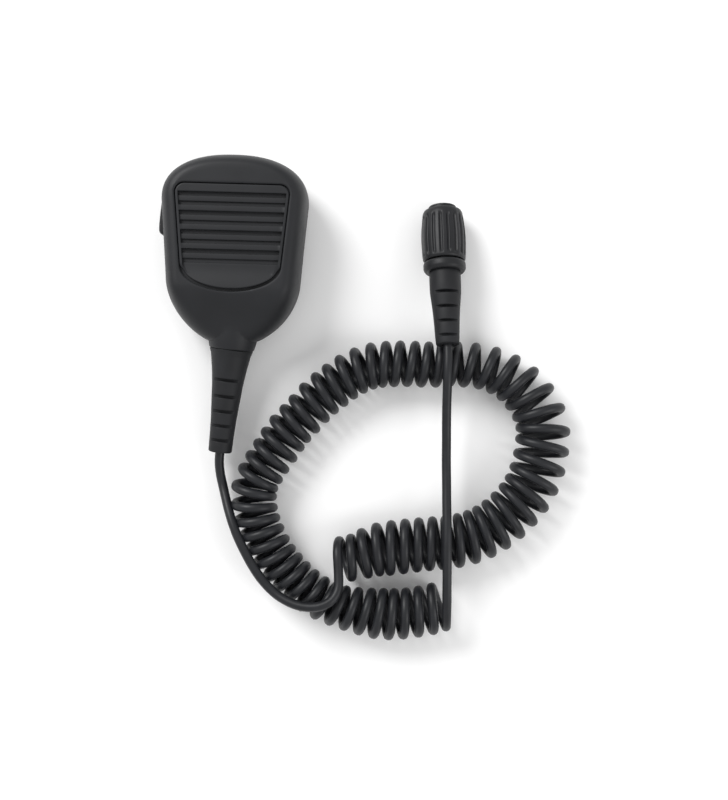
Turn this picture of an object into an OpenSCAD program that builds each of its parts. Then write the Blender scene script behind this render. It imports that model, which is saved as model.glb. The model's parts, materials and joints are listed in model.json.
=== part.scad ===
// Hand microphone with a curly cord and a round plug, laid out on its back.
// Millimetres. The origin is the centre of the hang-up stud's outer face, +Z leaves through the
// grille and +Y points to the top of the microphone.

/* [Housing] */
// Widest half width of the housing
shoulder_half_w = 30.6; // [29:0.2:33]
// Half width of the housing where the lower curve begins
waist_half_w = 28; // [26:0.2:30]
// Height of the parting line above the surface that the microphone lies on
parting_z = 15; // [14.5:0.1:15.5]
// Height of the front above the parting line
front_h = 18; // [16:0.5:20]
// Thickness of both shells
wall = 2.2; // [1.8:0.1:2.6]
// How far the front and back faces lie inside the outline
edge_round = 7; // [5:0.5:8]

/* [Grille] */
// Number of slots
slot_count = 8; // [4:2:8]
// Distance from slot to slot
slot_pitch = 3.9; // [3.5:0.1:4.2]
// Width of one slot
slot_w = 1.4; // [1:0.1:1.8]
// Distance from the slots' ends to the panel's sides
slot_margin = 1.4; // [1.2:0.1:3]

/* [Talk paddle] */
// Turning range of the paddle in degrees
ptt_throw = 4; // [2:0.5:4]
// Radius of the hinge pin
ptt_pin_r = 0.8; // [0.6:0.1:1]
// Radial clearance of running fits
running_gap = 0.05; // [0.02:0.01:0.1]

/* [Hang-up stud] */
// Radius of the stud's head
stud_head_r = 6.5; // [5:0.5:7]
// Height from the head's face to the back shell
stud_h = 5; // [4.5:0.1:5]

/* [Strain relief] */
// Sideways lean of the strain relief in degrees
relief_lean = 5.4; // [0:0.1:8]
// Downward droop of the strain relief in degrees
relief_droop = 5; // [0:0.5:6]

/* [Cord] */
// Diameter of the cord
cord_d = 4; // [3.8:0.1:4]
// Height of the curly part as it lies, its turns leaning over
coil_od = 19; // [18:0.2:19]
// Half width of the curly part through most of the loop
coil_half_w = 10.1; // [9.5:0.1:10.5]
// Half width of its first third, whose turns lean more
coil_lean_half_w = 11.9; // [11:0.1:12.2]

/* [Plug] */
// Tilt of the plug, nose down, in degrees
plug_tilt = 12; // [10:0.5:14]
// Length of the plug with its strain relief
plug_l = 60.8; // [60:0.2:63]
// Greatest radius of the coupling ring
ring_r = 9.5; // [9:0.1:9.8]
// Number of grip grooves round the coupling ring
grip_count = 18; // [12:1:24]

/* [Hidden] */
$fn = 64;

// housing outline and surface
crown_y = 6;
crown_h = 19.3;
crown_power = 2.3;
jaw_y = -26;
jaw_h = 28.6;
jaw_power = 1.85;
edge_power = 2.6;
curve_steps = 10;
side_steps = 3;
edge_steps = 6;
neck_y = -50;
neck_z = 14;
neck_bore_r = 7.15;
boot_slot_w = 1.2;
back_h = parting_z - stud_h;
swell_h = parting_z;

// grille panel
face_z = parting_z + front_h;
panel_half_w = 23.6;
panel_top_y = 11.5;
panel_depth = 0.5;
slot_top_y = 7;
slot_end_y = slot_top_y - (slot_count - 1) * slot_pitch;
chin_y = -22;
chin_half_w = 20.8;
chin_h = 10.6;
groove_w = 1.2;

// screws that close the case
screw_places = [[-14, 16.6], [14, 16.6], [-12, -38], [12, -38]];
screw_seat_z = 8.4;

// talk paddle, its pin, spring and switch
ptt_x = -26.5;
ptt_y = 10.2;
ptt_half_h = 6;
bracket_x = -21.2;
spring_y = -5.5;
spring_r = 2;
spring_wire_r = 0.3;
spring_turns = 5;
plunger_y = 2;
plunger_r = 1.2;

// circuit board
board_z = 10.4;
board_t = 1.6;
board_top = board_z + board_t;
board_posts = [[-15, 9], [15, 9], [0, -31]];

// plug axis, from the nose back to the cord
plug_tip = [87.4, 8, 7.7];
plug_yaw = 3;
cord_r = cord_d / 2;
coil_r = coil_od / 2;

// routes, in millimetres
COIL_ROUTE = [
    [53.1, -142.9], [63.1, -139.4], [73.2, -137.7], [84.1, -136.2], [95.1, -134.9],
    [105.1, -132.1], [114.2, -126.9], [121.8, -119.8], [127.6, -111.8], [131, -103.1],
    [132.7, -93.3], [132.6, -83.7], [128.3, -74.1], [120.3, -65.7], [109.7, -60.6], [97.2, -59],
    [84.1, -59.5], [71.1, -59.5], [59.1, -60.8], [50.4, -64.6], [42.9, -70.1], [36, -76.2],
    [30.6, -82.5], [24.7, -89.2], [19.6, -97], [14, -106], [10.6, -113.6], [10.4, -120.7],
    [11.8, -127.8], [15, -135.4], [20, -143.8], [27, -151.2], [35.8, -158.1], [45.9, -163],
    [57, -165.5], [68.1, -166.5], [79, -165.6], [91, -163]
];
HANDSET_ROUTE = [
    [-4.9, -104.1, 9], [-4.3, -109.1, 8.3], [-3, -114.1, 8.6], [-1.5, -119, 10.4],
    [0.2, -124, 12.8], [2.1, -129, 14.6], [4.7, -134.9, 15.8], [8.3, -141.6, 16.6],
    [11.7, -147.2, 17], [15.6, -152.4, 17.3], [21, -157.5, 18], [25.9, -160.3, 19.3],
    [30.9, -162, 20.4], [35.9, -162.5, 21.2], [40.4, -161.9, 21.5], [44.9, -159.6, 21.3],
    [47.7, -154.7, 20], [49.2, -149.7, 18.2], [51, -146.6, 17], [55.5, -145, 16]
];
PLUG_ROUTE = [
    [88, -165.6, 4], [91.1, -167.9, 3.6], [93.2, -170.3, 5], [93.7, -171.4, 9],
    [93.7, -170.2, 13.5], [93.5, -165.9, 17], [93.3, -159.4, 19.2], [93, -151.4, 20.9],
    [92.8, -143.5, 21.5], [92.6, -135.5, 21.5], [92.4, -127.5, 20.6], [92.1, -118.5, 18.8],
    [91.9, -109.5, 17.2], [91.6, -100.5, 16.4], [91.4, -91.5, 16.5], [91.1, -82.5, 17.7],
    [90.9, -74.5, 19.6], [90.8, -67.5, 21.5], [90.7, -61.5, 22], [90.7, -56, 21.3]
];

function smooth(t) = let(c = min(1, max(0, t))) c * c * (3 - 2 * c);

// height of the front above the parting line, and depth of the back below it, at a place along Y
function front_rise(y) = front_h - 9.5 * smooth((-30 - y) / 23);
function back_drop(y) =
    back_h + (swell_h - back_h) * smooth((-6 - y) / 18) - 6.5 * smooth((-40 - y) / 13);

// right half of the outline, drawn in by d, from the top centre to the bottom centre
function half_outline(d) = concat(
    [for (k = [0:curve_steps]) let(t = 90 - 90 * k / curve_steps)
        [(shoulder_half_w - d) * pow(cos(t), 2 / crown_power),
         crown_y + (crown_h - d) * pow(sin(t), 2 / crown_power)]],
    [for (k = [1:side_steps]) let(t = k / side_steps)
        [(shoulder_half_w - d) * (1 - t) + (waist_half_w - d) * t, crown_y * (1 - t) + jaw_y * t]],
    [for (k = [1:curve_steps]) let(t = 90 * k / curve_steps)
        [(waist_half_w - d) * pow(cos(t), 2 / jaw_power),
         jaw_y - (jaw_h - d) * pow(sin(t), 2 / jaw_power)]]);
function outline(d) = let(right = half_outline(d), last = len(right) - 1)
    concat(right, [for (k = [1:last - 1]) [-right[last - k][0], right[last - k][1]]]);

function unit(v) = v / norm(v);

// one half of the housing as a solid: side is 1 for the front and -1 for the back
function rise(side, y) = side > 0 ? front_rise(y) : back_drop(y);
function shell_ring(side, inset, k) =
    let(a = 90 * max(0, k) / edge_steps,
        d = inset + edge_round * (1 - pow(cos(a), 2 / edge_power)),
        up = pow(sin(a), 2 / edge_power))
    [for (p = outline(d)) [p[0], p[1],
        k < 0 ? parting_z - side : parting_z + side * (rise(side, p[1]) - inset) * up]];
module shell_half(side, inset) {
    first = inset > 0 ? -1 : 0;
    rings = [for (k = [first:edge_steps]) shell_ring(side, inset, k)];
    n = len(rings[0]);
    top = (len(rings) - 1) * n;
    half = n / 2;
    walls = [for (r = [0:len(rings) - 2], i = [0:n - 1])
        let(a = r * n + i, b = r * n + (i + 1) % n) each [[a, b, b + n], [a, b + n, a + n]]];
    cap = concat([[top, top + 1, top + n - 1]],
        [for (i = [1:half - 2]) [top + i, top + i + 1, top + n - i - 1, top + n - i]],
        [[top + half - 1, top + half, top + half + 1]]);
    floor_face = [[for (i = [0:n - 1]) n - 1 - i]];
    faces = concat(floor_face, walls, cap);
    backwards = [for (f = faces) [for (i = [0:len(f) - 1]) f[len(f) - 1 - i]]];
    polyhedron([for (r = rings) each r], side > 0 ? faces : backwards);
}

// tube of radius r along points, as one swept solid
function tangent(p, i) = unit(p[min(i + 1, len(p) - 1)] - p[max(i - 1, 0)]);
function side_dirs(p, i = 0, last = [0, 0, 1], out = []) = i >= len(p) ? out :
    let(t = tangent(p, i), u = unit(last - (last * t) * t)) side_dirs(p, i + 1, u, concat(out, [u]));
module tube(p, r, sides, turn = 0, wide = []) {
    up = side_dirs(p);
    n = len(p);
    points = [for (i = [0:n - 1]) let(t = tangent(p, i), u = up[i], v = cross(t, u))
        each [for (k = [0:sides - 1]) let(a = turn + 360 * k / sides)
            p[i] + r * cos(a) * u + (len(wide) > 0 ? wide[i] : r) * sin(a) * v]];
    polyhedron(points, concat(
        [[for (k = [0:sides - 1]) k]],
        [for (i = [0:n - 2], k = [0:sides - 1]) let(a = i * sides + k, b = i * sides + (k + 1) % sides)
            each [[a, a + sides, b + sides], [a, b + sides, b]]],
        [[for (k = [0:sides - 1]) n * sides - 1 - k]]));
}

module along_x(x, y, z) {
    translate([x, y, z]) rotate([0, 90, 0]) children();
}
// children's +Z runs out of the housing along the strain relief
module on_relief_axis() {
    translate([0, neck_y, neck_z]) rotate([0, 0, -relief_lean]) rotate([90 + relief_droop, 0, 0]) children();
}
// children's +Z runs from the plug's nose back towards the cord
module on_plug_axis() {
    translate(plug_tip) rotate([0, 0, plug_yaw]) rotate([90 - plug_tilt, 0, 0]) children();
}
module ring_solid(r_out, r_in, h) {
    difference() {
        cylinder(r = r_out, h = h);
        translate([0, 0, -1]) cylinder(r = r_in, h = h + 2);
    }
}

// everything that leaves the housing through both shells
module housing_openings() {
    translate([-40, -9.4, 8.6]) cube([16, 22.5, 12.8]);
    translate([-28.2, 7.4, parting_z - 7.8]) cube([7.3, 5.2, 15.6]);
    on_relief_axis() {
        translate([0, 0, -8]) cylinder(r = neck_bore_r, h = 30);
        translate([0, 0, -12]) cylinder(r = 8.4, h = 8.8);
    }
}
// half of the round neck in which the strain relief sits
module neck(side) {
    intersection() {
        on_relief_axis() rotate_extrude() polygon([
            [6, -4.4], [10.9, -4.4], [10.6, -2], [10.3, 0.5], [10, 2.5], [9.7, 4], [9.3, 5.4], [6, 5.4]
        ]);
        translate([-20, -70, side > 0 ? parting_z : parting_z - 20]) cube([40, 40, 20]);
    }
}

module panel_2d(d) {
    corner = 4;
    w = panel_half_w - d;
    top = panel_top_y - d;
    low = [for (k = [0:16]) let(t = 180 * k / 16)
        [(chin_half_w - d) * cos(t), chin_y - (chin_h - d) * sin(t)]];
    polygon(concat(
        [for (t = [180:-22.5:90]) [-w + corner + corner * cos(t), top - corner + corner * sin(t)]],
        [for (t = [90:-22.5:0]) [w - corner + corner * cos(t), top - corner + corner * sin(t)]],
        low));
}

// cut at slot k, from the slot's lower edge up by height and down from the face by depth
module slot(k, height, depth) {
    y = slot_top_y - k * slot_pitch;
    half_l = panel_half_w - slot_margin
        - (panel_half_w - chin_half_w) * (slot_top_y - y) / (slot_top_y - chin_y);
    translate([-half_l, y - slot_w / 2, face_z - depth]) cube([2 * half_l, height, depth + 2]);
}

module front_shell() {
    color([0.2, 0.2, 0.21]) difference() {
        union() {
            difference() {
                shell_half(1, 0);
                shell_half(1, wall);
            }
            for (p = screw_places) translate([p[0], p[1], parting_z])
                cylinder(r = 3.2, h = p[1] > 0 ? 15.2 : 13);
            neck(1);
        }
        for (p = screw_places) translate([p[0], p[1], parting_z - 1]) cylinder(r = 1.1, h = 11);
        translate([0, 0, face_z - panel_depth]) linear_extrude(2) panel_2d(0);
        for (k = [1:2:slot_count - 1]) slot(k, slot_pitch + slot_w, 1.4);
        for (k = [0:slot_count - 1]) slot(k, slot_w, 4);
        translate([0, 0, face_z - 1.3]) linear_extrude(3) difference() {
            panel_2d(0);
            panel_2d(groove_w);
            translate([-40, chin_y, 0]) square([80, 60]);
        }
        gasket_solid();
        housing_openings();
    }
}

module back_shell() {
    color([0.17, 0.17, 0.18]) difference() {
        union() {
            difference() {
                shell_half(-1, 0);
                shell_half(-1, wall);
            }
            for (p = screw_places) translate([p[0], p[1], screw_seat_z - 1.4])
                cylinder(r = 4.2, h = parting_z - screw_seat_z + 1.4);
            for (p = screw_places) translate([p[0], p[1], p[1] > 0 ? 6.2 : 1.4]) cylinder(r = 4.2, h = 7);
            for (p = board_posts) translate([p[0], p[1], p[1] > 0 ? 6 : 1.2])
                cylinder(r = 2.4, h = board_z - (p[1] > 0 ? 6 : 1.2));
            translate([-7.5, neck_y + 5.2, 2.4]) cube([15, 5, 8.4]);
            neck(-1);
        }
        for (p = screw_places) translate([p[0], p[1], -1]) {
            cylinder(r = 1.5, h = 20);
            cylinder(r = 2.6, h = screw_seat_z + 1);
        }
        for (p = board_posts) translate([p[0], p[1], 6.4]) cylinder(r = 0.8, h = 10);
        cylinder(r = 1.6, h = 12);
        for (x = [-5.3, 5.3]) translate([x, neck_y + 7.5, 5]) cylinder(r = 0.8, h = 10);
        gasket_solid();
        housing_openings();
    }
}

module gasket_solid() {
    translate([0, 0, parting_z - 0.5]) linear_extrude(1) difference() {
        polygon(outline(0.8));
        polygon(outline(1.5));
    }
}
module case_gasket() {
    color([0.1, 0.1, 0.1]) difference() {
        gasket_solid();
        housing_openings();
    }
}

module screw(r_head, h_head, r, length) {
    difference() {
        union() {
            translate([0, 0, -h_head]) cylinder(r = r_head, h = h_head);
            cylinder(r = r, h = length);
        }
        translate([0, 0, -h_head - 1]) cylinder(r = r_head * 0.5, h = 1 + h_head * 0.6, $fn = 6);
    }
}
module case_screws() {
    color("silver") for (p = screw_places) translate([p[0], p[1], screw_seat_z]) screw(2.3, 1.6, 1.1, 15);
}

module dust_screen() {
    color([0.12, 0.12, 0.12]) translate([0, 0, face_z - wall - 0.7]) linear_extrude(0.6) polygon([
        [-21.4, slot_top_y + 1.6], [21.4, slot_top_y + 1.6],
        [19.5, slot_end_y - 2], [-19.5, slot_end_y - 2]
    ]);
}
module capsule_holder() {
    color([0.3, 0.3, 0.32]) translate([0, -9, board_top]) difference() {
        cylinder(r = 8.2, h = 16);
        translate([0, 0, 10.5]) cylinder(r = 6.7, h = 8);
        translate([0, 0, -1]) cylinder(r = 5, h = 10);
        translate([-9, -2, -1]) cube([18, 4, 5]);
        for (x = [-2.5, 2.5]) translate([x, 0, 5]) cylinder(r = 0.7, h = 8);
    }
}
module capsule_boot() {
    color([0.08, 0.08, 0.08]) translate([0, -9, 22.5]) difference() {
        cylinder(r = 6.7, h = 7.5);
        translate([0, 0, 1.5]) cylinder(r = 4.9, h = 8);
        for (x = [-2.5, 2.5]) translate([x, 0, -1]) cylinder(r = 0.7, h = 4);
    }
}
module microphone_capsule() {
    color([0.75, 0.75, 0.76]) translate([0, -9, 24]) {
        cylinder(r = 4.9, h = 5.2);
        for (x = [-2.5, 2.5]) translate([x, 0, -4]) cylinder(r = 0.4, h = 4);
    }
}

module circuit_board() {
    color([0.1, 0.35, 0.2]) difference() {
        translate([-19, -33, board_z]) cube([38, 45.2, board_t]);
        for (p = board_posts) translate([p[0], p[1], board_z - 1]) cylinder(r = 1.1, h = 4);
    }
}
module board_components() {
    color([0.12, 0.12, 0.13]) {
        translate([9, -22, board_top]) cube([7, 7, 1.6]);
        translate([-16, -20, board_top]) cube([5, 4, 1.4]);
        for (x = [10, 15]) translate([x, -1, board_top]) cylinder(r = 2, h = 5.4);
        for (k = [0:3]) translate([-16 + 3 * k, -27, board_top]) cube([1.6, 3, 0.8]);
        for (k = [0:2]) translate([10 + 3 * k, 3.5, board_top]) cube([1.6, 2.6, 0.8]);
        translate([-15, -13, board_top]) cylinder(r = 2.5, h = 4);
    }
}
module board_screws() {
    color("silver") for (p = board_posts) translate([p[0], p[1], board_top]) rotate([180, 0, 0])
        screw(1.9, 1.2, 0.8, 5.5);
}
module board_header() {
    color([0.9, 0.88, 0.8]) translate([4, -31.5, board_top]) difference() {
        cube([12, 5, 6]);
        translate([1, 1, 1.5]) cube([10, 3, 6]);
    }
}
module lead_connector() {
    color([0.85, 0.83, 0.76]) translate([5.1, -30.4, board_top + 1.6]) cube([9.8, 2.8, 6]);
}
module lead_wires() {
    color([0.6, 0.1, 0.1]) for (k = [0:3]) {
        x = 6.2 + 2.4 * k;
        start = -2.8 + k;
        tube([[start, -38, 15.2], [start, -36.5, 15.8 + k], [start + 1, -35, 17.5 + 1.2 * k],
            [x - 2, -32, 19.5 + 1.2 * k], [x - 0.4, -29.8, 21 + 1.2 * k],
            [x, -29, 20.2 + k], [x, -29, 19.6]], 0.4, 6);
    }
}
module cord_clamp() {
    color([0.7, 0.7, 0.7]) difference() {
        translate([-7.5, neck_y + 5.2, 10.8]) cube([15, 4.8, 6.8]);
        on_relief_axis() translate([0, 0, -12]) cylinder(r = cord_r, h = 12);
        for (x = [-5.3, 5.3]) translate([x, neck_y + 7.5, 9]) cylinder(r = 0.9, h = 12);
    }
}
module clamp_screws() {
    color("silver") for (x = [-5.3, 5.3]) translate([x, neck_y + 7.5, 17.6]) rotate([180, 0, 0])
        screw(1.8, 1.2, 0.8, 11.5);
}

// talk paddle: a bar hinged at its upper end, its lower end standing proud of the side
module ptt_paddle() {
    color([0.14, 0.14, 0.15]) difference() {
        translate([0, 0, parting_z - ptt_half_h]) linear_extrude(2 * ptt_half_h) polygon([
            [-25.2, 12.2], [-29.2, 12.4], [-30.2, 10], [-30.6, 6], [-31, 2], [-31.3, -2],
            [-31.5, -5], [-31.4, -7], [-30.9, -8.2], [-30, -8.6], [-27.2, -8.6], [-27.2, 7.6],
            [-25.2, 8.2]
        ]);
        translate([ptt_x, ptt_y, parting_z - 10]) cylinder(r = ptt_pin_r + running_gap, h = 20);
        along_x(-28.4, spring_y, parting_z) cylinder(r = spring_r + 0.7, h = 3);
    }
}
module ptt_hinge_pin() {
    color("silver") translate([ptt_x, ptt_y, parting_z - 7.6]) cylinder(r = ptt_pin_r, h = 15.2);
}
module ptt_bracket() {
    color([0.3, 0.3, 0.32]) difference() {
        union() {
            translate([bracket_x, -10, parting_z - 7.6]) cube([1.6, 22.2, 15.2]);
            for (z = [parting_z - 7.6, parting_z + 6.4]) translate([-28, 7.6, z]) cube([7, 4.6, 1.2]);
        }
        translate([ptt_x, ptt_y, parting_z - 10]) cylinder(r = ptt_pin_r, h = 20);
    }
}
module ptt_spring() {
    h = 28.2 + bracket_x - 2 * spring_wire_r;
    color("silver") tube([for (k = [0:spring_turns * 10]) let(a = 36 * k)
        [-28.2 + spring_wire_r + h * k / (spring_turns * 10),
         spring_y + spring_r * cos(a), parting_z + spring_r * sin(a)]], spring_wire_r, 5);
}
module ptt_switch() {
    color([0.16, 0.16, 0.17]) difference() {
        translate([bracket_x - 4, plunger_y - 3, parting_z - 3]) cube([4, 6, 6]);
        along_x(bracket_x - 5, plunger_y, parting_z) cylinder(r = plunger_r + running_gap, h = 4.1);
    }
}
module switch_plunger() {
    color([0.85, 0.85, 0.85]) along_x(bracket_x - 5.5, plunger_y, parting_z) cylinder(r = plunger_r, h = 3.6);
}
module switch_seal() {
    color([0.05, 0.05, 0.05]) along_x(bracket_x - 4.6, plunger_y, parting_z) ring_solid(2.8, 1.7, 0.6);
}

module hang_up_stud() {
    color("silver") rotate_extrude() polygon([
        [0, 0], [stud_head_r - 0.4, 0], [stud_head_r, 0.4], [stud_head_r, 1.8], [stud_head_r - 0.4, 2.2],
        [3.4, 2.2], [3.4, stud_h - 0.8], [5.2, stud_h - 0.6], [5.2, stud_h], [1.5, stud_h], [1.5, 2],
        [0, 1.4]
    ]);
}
module stud_washer() {
    color("silver") translate([0, 0, stud_h + wall]) ring_solid(3.4, 1.6, 0.6);
}
module stud_screw() {
    color("silver") translate([0, 0, stud_h + wall + 0.6]) rotate([180, 0, 0]) screw(2.9, 1.7, 1.5, 5.4);
}

// rubber strain relief: a smooth taper, with slots across its top and its underside for bending.
// Each slot is [distance along the axis, radius of the taper there].
module slotted_boot(profile, slots) {
    difference() {
        rotate_extrude() polygon(profile);
        for (s = slots, side = [-1, 1])
            translate([-12, side > 0 ? 0.64 * s[1] : -12, s[0] - boot_slot_w / 2])
                cube([24, side > 0 ? 12 : 12 - 0.64 * s[1], boot_slot_w]);
        translate([0, 0, -20]) cylinder(r = cord_r, h = 100);
    }
}
module handset_strain_relief() {
    color([0.1, 0.1, 0.11]) on_relief_axis()
        slotted_boot([
            [0, -4.3], [8.2, -4.3], [8.2, -3.3], [7.1, -3.3], [7.1, 5.5], [9.2, 5.5], [8.5, 7.5],
            [8.1, 10], [7.7, 12.5], [7.2, 15.5], [6.9, 18], [6.5, 22], [6.2, 26], [5.8, 31],
            [5.4, 36], [5.2, 41], [5, 48.6], [4.5, 49.6], [0, 49.6]
        ], [[18.4, 6.9], [25.4, 6.2], [31.8, 5.7], [38, 5.3], [44.2, 5.1]]);
}
module handset_cord_end() {
    color([0.1, 0.1, 0.11]) on_relief_axis() translate([0, 0, -12]) cylinder(r = cord_r, h = 61.6);
}

// centre of the strain relief's outer end, and of the plug's cord end
relief_end = [
    -49.6 * sin(relief_lean) * cos(relief_droop),
    neck_y - 49.6 * cos(relief_lean) * cos(relief_droop),
    neck_z - 49.6 * sin(relief_droop)
];
plug_end = plug_tip + plug_l * [
    sin(plug_yaw) * cos(plug_tilt), -cos(plug_yaw) * cos(plug_tilt), sin(plug_tilt)
];

module handset_tail() {
    color([0.12, 0.12, 0.13]) tube(concat([relief_end], HANDSET_ROUTE), cord_r, 8);
}
// half width of the curly part at a share of its route: narrow at the crossing, where it leans less
function coil_wide(t) = coil_half_w
    + (coil_lean_half_w - coil_half_w) * smooth((t + 0.02) / 0.06) * (1 - smooth((t - 0.28) / 0.1))
    - 0.6 * smooth((t - 0.79) / 0.05) + 1.7 * smooth((t - 0.88) / 0.06);

module coil_sleeve() {
    n = len(COIL_ROUTE) - 1;
    color([0.12, 0.12, 0.13])
        tube([for (p = COIL_ROUTE) [p[0], p[1], coil_r]], coil_r, 12, 0, [for (i = [0:n]) coil_wide(i / n)]);
}
module plug_tail() {
    color([0.12, 0.12, 0.13]) tube(concat(PLUG_ROUTE, [plug_end]), cord_r, 8);
}

module plug_strain_relief() {
    color([0.1, 0.1, 0.11]) on_plug_axis()
        slotted_boot([
            [4.8, 29.2], [6.7, 29.2], [6.7, 38.8], [6.2, 41.8], [5.8, 45.8], [5.4, 51.8], [5.1, 57.8],
            [4.8, plug_l - 1], [4.3, plug_l], [0, plug_l], [0, 35.8], [4.8, 35.8]
        ], [[39, 6.6], [45.3, 5.8], [51.4, 5.4], [57.5, 5.1]]);
}
module plug_cord_end() {
    color([0.1, 0.1, 0.11]) on_plug_axis() translate([0, 0, 28.8]) cylinder(r = cord_r, h = plug_l - 28.8);
}
module crimp_ferrule() {
    color("silver") on_plug_axis() translate([0, 0, 29.8]) ring_solid(2.9, cord_r, 5.6);
}
module plug_wires() {
    color([0.6, 0.1, 0.1]) on_plug_axis() for (k = [0:5]) rotate([0, 0, 60 * k])
        translate([1.2, 0, 16.4]) cylinder(r = 0.4, h = 12.4);
}
module plug_shell() {
    color([0.13, 0.13, 0.14]) on_plug_axis() rotate_extrude() polygon([
        [5.3, 0.6], [5.6, 0], [6, 0.6], [6.1, 4.7], [5.7, 4.7], [5.7, 5.9], [6.1, 5.9], [6.1, 7.8],
        [6.6, 8.3], [6.6, 16], [6.2, 16], [6.2, 16.6], [6.6, 16.6], [6.6, 25], [8.6, 25],
        [9, 25.6], [9, 28.2], [8.2, 29.2], [4.8, 29.2], [4.8, 35.8], [3, 35.8], [3, 17], [5.3, 17]
    ]);
}
module coupling_ring() {
    color([0.16, 0.16, 0.17]) on_plug_axis() difference() {
        rotate_extrude() polygon([
            [7.3, 2], [7.9, 2], [8.4, 3], [8.8, 5.6], [9.2, 8.8], [ring_r - 0.1, 11.5], [ring_r, 14.3],
            [ring_r - 0.1, 17.8], [ring_r - 0.3, 21.3], [ring_r - 0.5, 23.6], [ring_r - 1, 24.4],
            [6.6 + running_gap, 24.4], [6.6 + running_gap, 16.9], [7.3, 16.9]
        ]);
        for (k = [0:grip_count - 1]) rotate([0, 0, 360 * k / grip_count])
            translate([ring_r + 0.3, 0, 6.3]) cylinder(r = 0.9, h = 15.5, $fn = 24);
    }
}
module contact_insert() {
    color([0.2, 0.2, 0.2]) on_plug_axis() difference() {
        translate([0, 0, 0.9]) cylinder(r = 5.3, h = 16.1);
        for (k = [0:6]) rotate([0, 0, 360 * k / 7]) translate([3.6, 0, 0]) cylinder(r = 0.7, h = 15.8);
        cylinder(r = 0.7, h = 15.8);
        for (k = [0:5]) rotate([0, 0, 60 * k]) translate([1.2, 0, 16.3]) cylinder(r = 0.45, h = 2);
    }
}
module contact_pins() {
    color("gold") on_plug_axis() {
        for (k = [0:6]) rotate([0, 0, 360 * k / 7]) translate([3.6, 0, 1.2]) ring_solid(0.7, 0.4, 14.6);
        translate([0, 0, 1.2]) ring_solid(0.7, 0.4, 14.6);
    }
}
module plug_seal_ring() {
    color([0.05, 0.05, 0.05]) on_plug_axis() translate([0, 0, 5.3]) rotate_extrude()
        translate([6.3, 0]) circle(r = 0.6);
}
module retaining_clip() {
    color("silver") on_plug_axis() translate([0, 0, 16]) ring_solid(6.95, 6.2, 0.6);
}
module detent_washer() {
    color("silver") on_plug_axis() translate([0, 0, 24.6]) ring_solid(7.4, 6.6, 0.3);
}

front_shell();
back_shell();
case_gasket();
case_screws();
dust_screen();
capsule_holder();
capsule_boot();
microphone_capsule();
circuit_board();
board_components();
board_screws();
board_header();
lead_connector();
lead_wires();
cord_clamp();
clamp_screws();
ptt_paddle();
ptt_hinge_pin();
ptt_bracket();
ptt_spring();
ptt_switch();
switch_plunger();
switch_seal();
hang_up_stud();
stud_washer();
stud_screw();
handset_strain_relief();
handset_cord_end();
handset_tail();
coil_sleeve();
plug_tail();
plug_strain_relief();
plug_cord_end();
crimp_ferrule();
plug_wires();
plug_shell();
coupling_ring();
contact_insert();
contact_pins();
plug_seal_ring();
retaining_clip();
detent_washer();
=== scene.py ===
import json
import math

import bmesh
import bpy
from mathutils import Matrix, Vector


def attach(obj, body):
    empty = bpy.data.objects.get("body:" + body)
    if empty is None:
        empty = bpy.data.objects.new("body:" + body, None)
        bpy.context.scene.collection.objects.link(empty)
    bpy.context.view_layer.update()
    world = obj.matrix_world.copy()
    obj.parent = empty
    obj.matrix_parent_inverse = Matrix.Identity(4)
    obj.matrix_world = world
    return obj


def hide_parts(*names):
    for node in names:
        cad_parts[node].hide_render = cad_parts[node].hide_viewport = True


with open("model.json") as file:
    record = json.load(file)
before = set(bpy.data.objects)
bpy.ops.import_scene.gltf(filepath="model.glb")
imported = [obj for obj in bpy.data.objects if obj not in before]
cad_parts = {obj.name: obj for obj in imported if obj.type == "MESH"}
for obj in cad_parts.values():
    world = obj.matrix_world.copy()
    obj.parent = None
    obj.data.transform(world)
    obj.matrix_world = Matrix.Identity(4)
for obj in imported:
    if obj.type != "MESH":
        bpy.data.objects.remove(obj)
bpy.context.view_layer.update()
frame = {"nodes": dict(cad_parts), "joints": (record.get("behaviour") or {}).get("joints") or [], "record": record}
MM = 0.001


# ---------------------------------------------------------------------------------------------
# Camera and studio. A pale floor, a large soft light from the upper left, a weak one from the
# right, and a bright room all round, so that black plastic reads by its highlights.
camera_place = Vector((0.0562, -0.0754, 0.52))
camera_turn = 1.6
floor_width_in_view = 0.3167

camera_data = bpy.data.cameras.new("camera")
camera_data.sensor_fit = "HORIZONTAL"
camera_data.sensor_width = 36.0
camera_data.lens = 36.0 * camera_place.z / floor_width_in_view
camera_data.clip_start = 0.01
camera = bpy.data.objects.new("camera", camera_data)
camera.location = camera_place
camera.rotation_euler.z = math.radians(camera_turn)
bpy.context.scene.collection.objects.link(camera)
bpy.context.scene.camera = camera
bpy.context.scene.view_settings.view_transform = "Standard"


def soft_light(name, place, target, width, power):
    data = bpy.data.lights.new(name, "AREA")
    data.shape = "DISK"
    data.size = width
    data.energy = power
    light = bpy.data.objects.new(name, data)
    light.location = place
    light.rotation_euler = (Vector(target) - Vector(place)).to_track_quat("-Z", "Y").to_euler()
    bpy.context.scene.collection.objects.link(light)


middle = (0.03, -0.05, 0.01)
soft_light("key_light", (-0.55, 0.55, 0.75), middle, 0.55, 9.0)
soft_light("fill_light", (0.75, -0.35, 0.6), middle, 0.5, 2.2)
world = bpy.data.worlds.new("room")
world.use_nodes = True
world.node_tree.nodes["Background"].inputs["Color"].default_value = (1, 1, 1, 1)
world.node_tree.nodes["Background"].inputs["Strength"].default_value = 0.74
bpy.context.scene.world = world


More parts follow.
